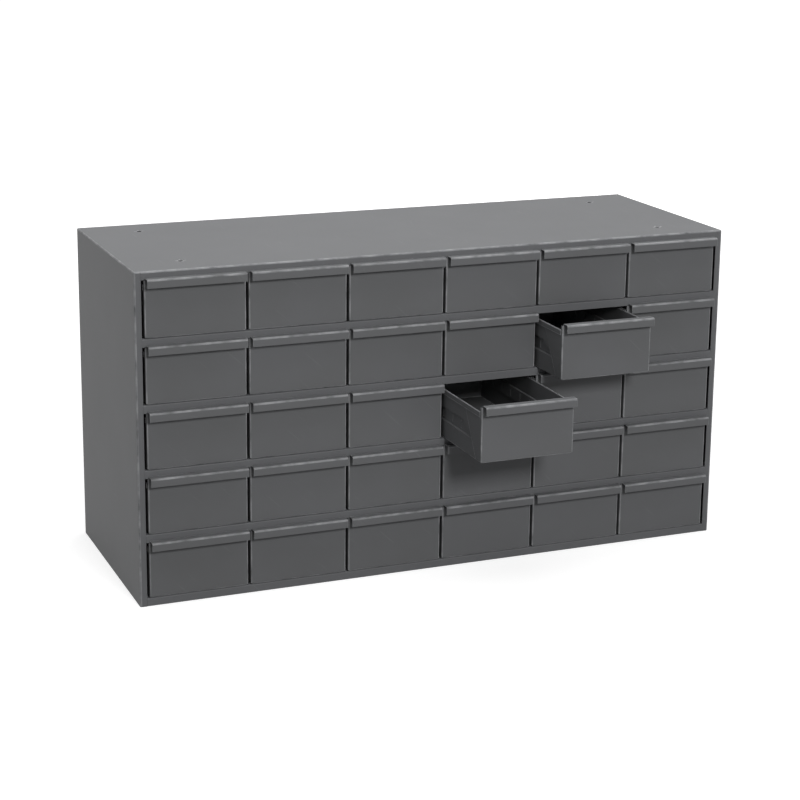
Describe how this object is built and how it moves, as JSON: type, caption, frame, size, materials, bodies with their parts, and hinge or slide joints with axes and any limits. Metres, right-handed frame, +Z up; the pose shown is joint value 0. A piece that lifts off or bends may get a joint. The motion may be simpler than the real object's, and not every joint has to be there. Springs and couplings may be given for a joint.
{
  "type": "parts bin cabinet",
  "caption": "Wide steel cabinet of small open-topped sliding bins, each with a folded pull lip, for sorting screws, fittings and other small parts.",
  "frame": {"origin": "centre of the cabinet's base, on the surface that it stands on", "axes": "+X to the right of someone who faces the fronts, +Z up, the bins slide out along -Y"},
  "size_m": [0.8572, 0.4471, 0.4509],
  "materials": {
    "cabinet_enamel": "satin grey baked enamel on cold-rolled steel sheet",
    "bin_enamel": "satin grey baked enamel on cold-rolled steel sheet"
  },
  "bodies": {
    "cabinet": {"top_panel": "cabinet_enamel", "bottom_panel": "cabinet_enamel", "side_panel_left": "cabinet_enamel", "side_panel_right": "cabinet_enamel", "back_panel": "cabinet_enamel", "shelf_1": "cabinet_enamel", "shelf_2": "cabinet_enamel", "shelf_3": "cabinet_enamel", "shelf_4": "cabinet_enamel", "shelf_5": "cabinet_enamel", "partition_1": "cabinet_enamel", "partition_2": "cabinet_enamel", "partition_3": "cabinet_enamel", "partition_4": "cabinet_enamel", "partition_5": "cabinet_enamel", "partition_6": "cabinet_enamel", "partition_7": "cabinet_enamel"},
    "drawer_r1_c1_body": {"drawer_r1_c1": "bin_enamel"},
    "drawer_r1_c2_body": {"drawer_r1_c2": "bin_enamel"},
    "drawer_r1_c3_body": {"drawer_r1_c3": "bin_enamel"},
    "drawer_r1_c4_body": {"drawer_r1_c4": "bin_enamel"},
    "drawer_r1_c5_body": {"drawer_r1_c5": "bin_enamel"},
    "drawer_r1_c6_body": {"drawer_r1_c6": "bin_enamel"},
    "drawer_r2_c1_body": {"drawer_r2_c1": "bin_enamel"},
    "drawer_r2_c2_body": {"drawer_r2_c2": "bin_enamel"},
    "drawer_r2_c3_body": {"drawer_r2_c3": "bin_enamel"},
    "drawer_r2_c4_body": {"drawer_r2_c4": "bin_enamel"},
    "drawer_r2_c5_body": {"drawer_r2_c5": "bin_enamel"},
    "drawer_r2_c6_body": {"drawer_r2_c6": "bin_enamel"},
    "drawer_r3_c1_body": {"drawer_r3_c1": "bin_enamel"},
    "drawer_r3_c2_body": {"drawer_r3_c2": "bin_enamel"},
    "drawer_r3_c3_body": {"drawer_r3_c3": "bin_enamel"},
    "drawer_r3_c4_body": {"drawer_r3_c4": "bin_enamel"},
    "drawer_r3_c5_body": {"drawer_r3_c5": "bin_enamel"},
    "drawer_r3_c6_body": {"drawer_r3_c6": "bin_enamel"},
    "drawer_r4_c1_body": {"drawer_r4_c1": "bin_enamel"},
    "drawer_r4_c2_body": {"drawer_r4_c2": "bin_enamel"},
    "drawer_r4_c3_body": {"drawer_r4_c3": "bin_enamel"},
    "drawer_r4_c4_body": {"drawer_r4_c4": "bin_enamel"},
    "drawer_r4_c5_body": {"drawer_r4_c5": "bin_enamel"},
    "drawer_r4_c6_body": {"drawer_r4_c6": "bin_enamel"},
    "drawer_r5_c1_body": {"drawer_r5_c1": "bin_enamel"},
    "drawer_r5_c2_body": {"drawer_r5_c2": "bin_enamel"},
    "drawer_r5_c3_body": {"drawer_r5_c3": "bin_enamel"},
    "drawer_r5_c4_body": {"drawer_r5_c4": "bin_enamel"},
    "drawer_r5_c5_body": {"drawer_r5_c5": "bin_enamel"},
    "drawer_r5_c6_body": {"drawer_r5_c6": "bin_enamel"}
  },
  "joints": [
    {"name": "drawer_r1_c1_slide", "type": "slide", "parent": "cabinet", "child": "drawer_r1_c1_body", "axis": [0, -1, 0], "range_m": [0, 0.2917]},
    {"name": "drawer_r1_c2_slide", "type": "slide", "parent": "cabinet", "child": "drawer_r1_c2_body", "axis": [0, -1, 0], "range_m": [0, 0.2917]},
    {"name": "drawer_r1_c3_slide", "type": "slide", "parent": "cabinet", "child": "drawer_r1_c3_body", "axis": [0, -1, 0], "range_m": [0, 0.2917]},
    {"name": "drawer_r1_c4_slide", "type": "slide", "parent": "cabinet", "child": "drawer_r1_c4_body", "axis": [0, -1, 0], "range_m": [0, 0.2917]},
    {"name": "drawer_r1_c5_slide", "type": "slide", "parent": "cabinet", "child": "drawer_r1_c5_body", "axis": [0, -1, 0], "range_m": [0, 0.2917]},
    {"name": "drawer_r1_c6_slide", "type": "slide", "parent": "cabinet", "child": "drawer_r1_c6_body", "axis": [0, -1, 0], "range_m": [0, 0.2917]},
    {"name": "drawer_r2_c1_slide", "type": "slide", "parent": "cabinet", "child": "drawer_r2_c1_body", "axis": [0, -1, 0], "range_m": [0, 0.2917]},
    {"name": "drawer_r2_c2_slide", "type": "slide", "parent": "cabinet", "child": "drawer_r2_c2_body", "axis": [0, -1, 0], "range_m": [0, 0.2917]},
    {"name": "drawer_r2_c3_slide", "type": "slide", "parent": "cabinet", "child": "drawer_r2_c3_body", "axis": [0, -1, 0], "range_m": [0, 0.2917]},
    {"name": "drawer_r2_c4_slide", "type": "slide", "parent": "cabinet", "child": "drawer_r2_c4_body", "axis": [0, -1, 0], "range_m": [0, 0.2917]},
    {"name": "drawer_r2_c5_slide", "type": "slide", "parent": "cabinet", "child": "drawer_r2_c5_body", "axis": [0, -1, 0], "range_m": [-0.075, 0.2167]},
    {"name": "drawer_r2_c6_slide", "type": "slide", "parent": "cabinet", "child": "drawer_r2_c6_body", "axis": [0, -1, 0], "range_m": [0, 0.2917]},
    {"name": "drawer_r3_c1_slide", "type": "slide", "parent": "cabinet", "child": "drawer_r3_c1_body", "axis": [0, -1, 0], "range_m": [0, 0.2917]},
    {"name": "drawer_r3_c2_slide", "type": "slide", "parent": "cabinet", "child": "drawer_r3_c2_body", "axis": [0, -1, 0], "range_m": [0, 0.2917]},
    {"name": "drawer_r3_c3_slide", "type": "slide", "parent": "cabinet", "child": "drawer_r3_c3_body", "axis": [0, -1, 0], "range_m": [0, 0.2917]},
    {"name": "drawer_r3_c4_slide", "type": "slide", "parent": "cabinet", "child": "drawer_r3_c4_body", "axis": [0, -1, 0], "range_m": [-0.123, 0.1687]},
    {"name": "drawer_r3_c5_slide", "type": "slide", "parent": "cabinet", "child": "drawer_r3_c5_body", "axis": [0, -1, 0], "range_m": [0, 0.2917]},
    {"name": "drawer_r3_c6_slide", "type": "slide", "parent": "cabinet", "child": "drawer_r3_c6_body", "axis": [0, -1, 0], "range_m": [0, 0.2917]},
    {"name": "drawer_r4_c1_slide", "type": "slide", "parent": "cabinet", "child": "drawer_r4_c1_body", "axis": [0, -1, 0], "range_m": [0, 0.2917]},
    {"name": "drawer_r4_c2_slide", "type": "slide", "parent": "cabinet", "child": "drawer_r4_c2_body", "axis": [0, -1, 0], "range_m": [0, 0.2917]},
    {"name": "drawer_r4_c3_slide", "type": "slide", "parent": "cabinet", "child": "drawer_r4_c3_body", "axis": [0, -1, 0], "range_m": [0, 0.2917]},
    {"name": "drawer_r4_c4_slide", "type": "slide", "parent": "cabinet", "child": "drawer_r4_c4_body", "axis": [0, -1, 0], "range_m": [0, 0.2917]},
    {"name": "drawer_r4_c5_slide", "type": "slide", "parent": "cabinet", "child": "drawer_r4_c5_body", "axis": [0, -1, 0], "range_m": [0, 0.2917]},
    {"name": "drawer_r4_c6_slide", "type": "slide", "parent": "cabinet", "child": "drawer_r4_c6_body", "axis": [0, -1, 0], "range_m": [0, 0.2917]},
    {"name": "drawer_r5_c1_slide", "type": "slide", "parent": "cabinet", "child": "drawer_r5_c1_body", "axis": [0, -1, 0], "range_m": [0, 0.2917]},
    {"name": "drawer_r5_c2_slide", "type": "slide", "parent": "cabinet", "child": "drawer_r5_c2_body", "axis": [0, -1, 0], "range_m": [0, 0.2917]},
    {"name": "drawer_r5_c3_slide", "type": "slide", "parent": "cabinet", "child": "drawer_r5_c3_body", "axis": [0, -1, 0], "range_m": [0, 0.2917]},
    {"name": "drawer_r5_c4_slide", "type": "slide", "parent": "cabinet", "child": "drawer_r5_c4_body", "axis": [0, -1, 0], "range_m": [0, 0.2917]},
    {"name": "drawer_r5_c5_slide", "type": "slide", "parent": "cabinet", "child": "drawer_r5_c5_body", "axis": [0, -1, 0], "range_m": [0, 0.2917]},
    {"name": "drawer_r5_c6_slide", "type": "slide", "parent": "cabinet", "child": "drawer_r5_c6_body", "axis": [0, -1, 0], "range_m": [0, 0.2917]}
  ]
}
